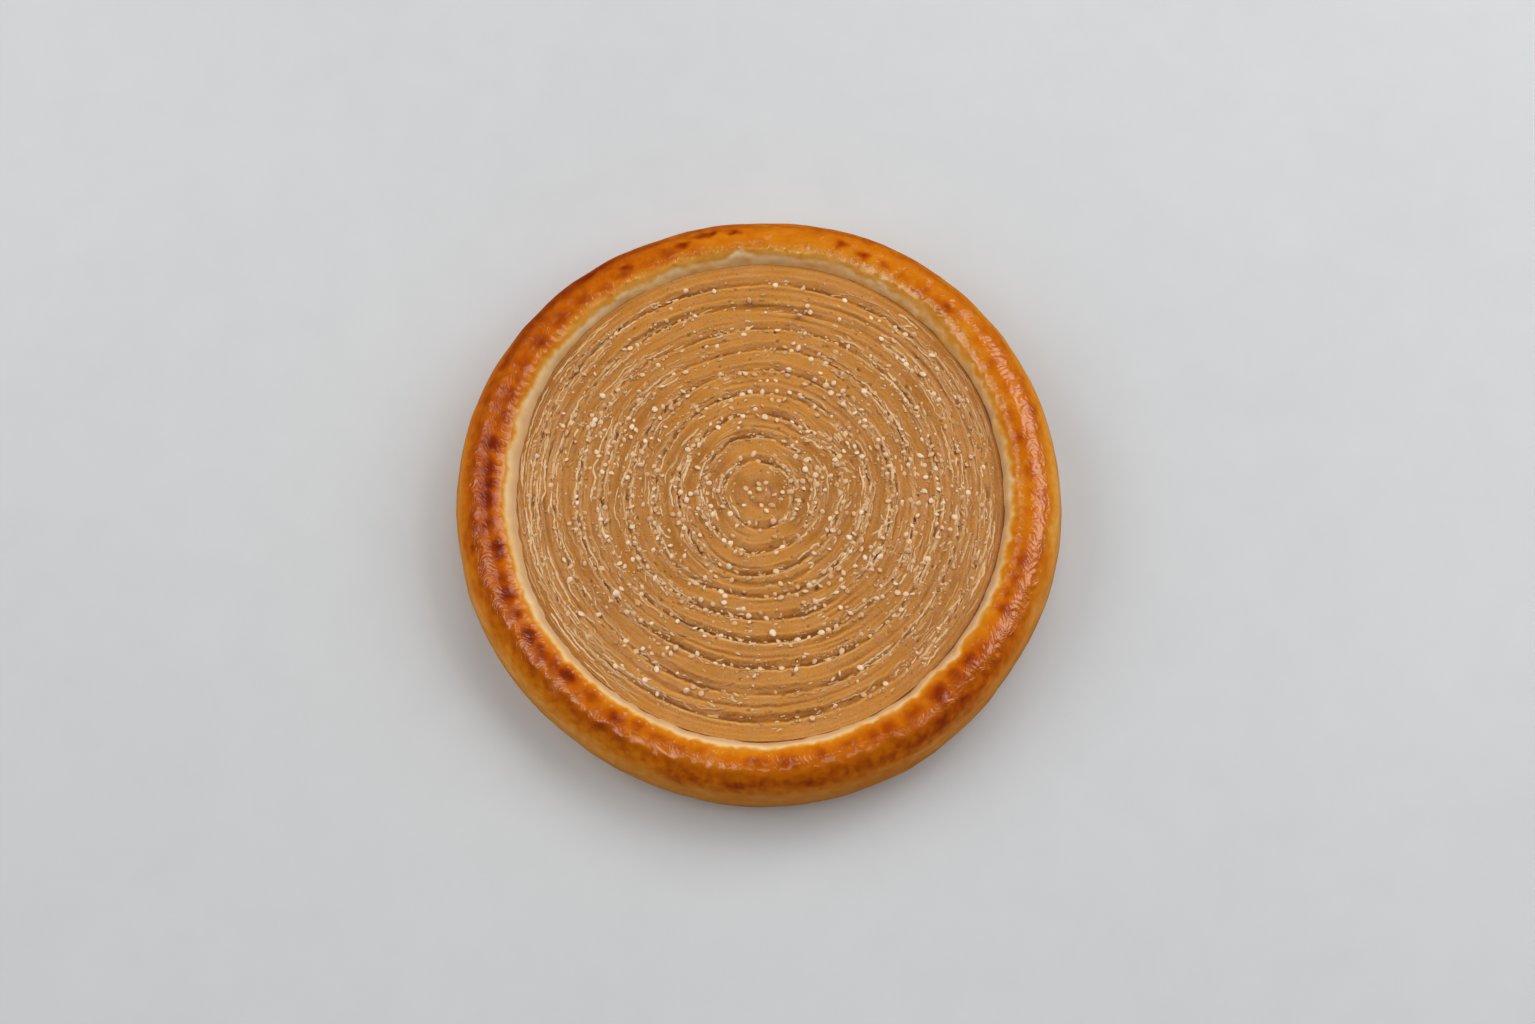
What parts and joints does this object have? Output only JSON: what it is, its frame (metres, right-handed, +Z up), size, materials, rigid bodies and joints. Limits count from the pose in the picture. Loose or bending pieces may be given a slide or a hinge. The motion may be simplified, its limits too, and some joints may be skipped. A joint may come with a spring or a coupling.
{
  "type": "tahini pie",
  "caption": "Round open pie with a tall, rounded, glossy browned dough rim and a flat sesame-paste filling combed into concentric rings and sprinkled with sesame seeds.",
  "frame": {"origin": "centre of the flat underside, on the surface the pie stands on", "axes": "+Z up through the middle of the filling; -Y is the side nearest the viewer in the picture and +X is the viewer's right"},
  "size_m": [0.2098, 0.2098, 0.0291],
  "materials": {
    "crust": "soft baked dough with a glossy egg wash, golden orange with browned crown and pale inner edge",
    "filling": "satin tan sesame paste with a slightly grainy surface",
    "seeds": "satin cream hulled sesame seeds"
  },
  "bodies": {
    "root": {"crust": "crust", "tahini_filling": "filling"}
  },
  "joints": []
}
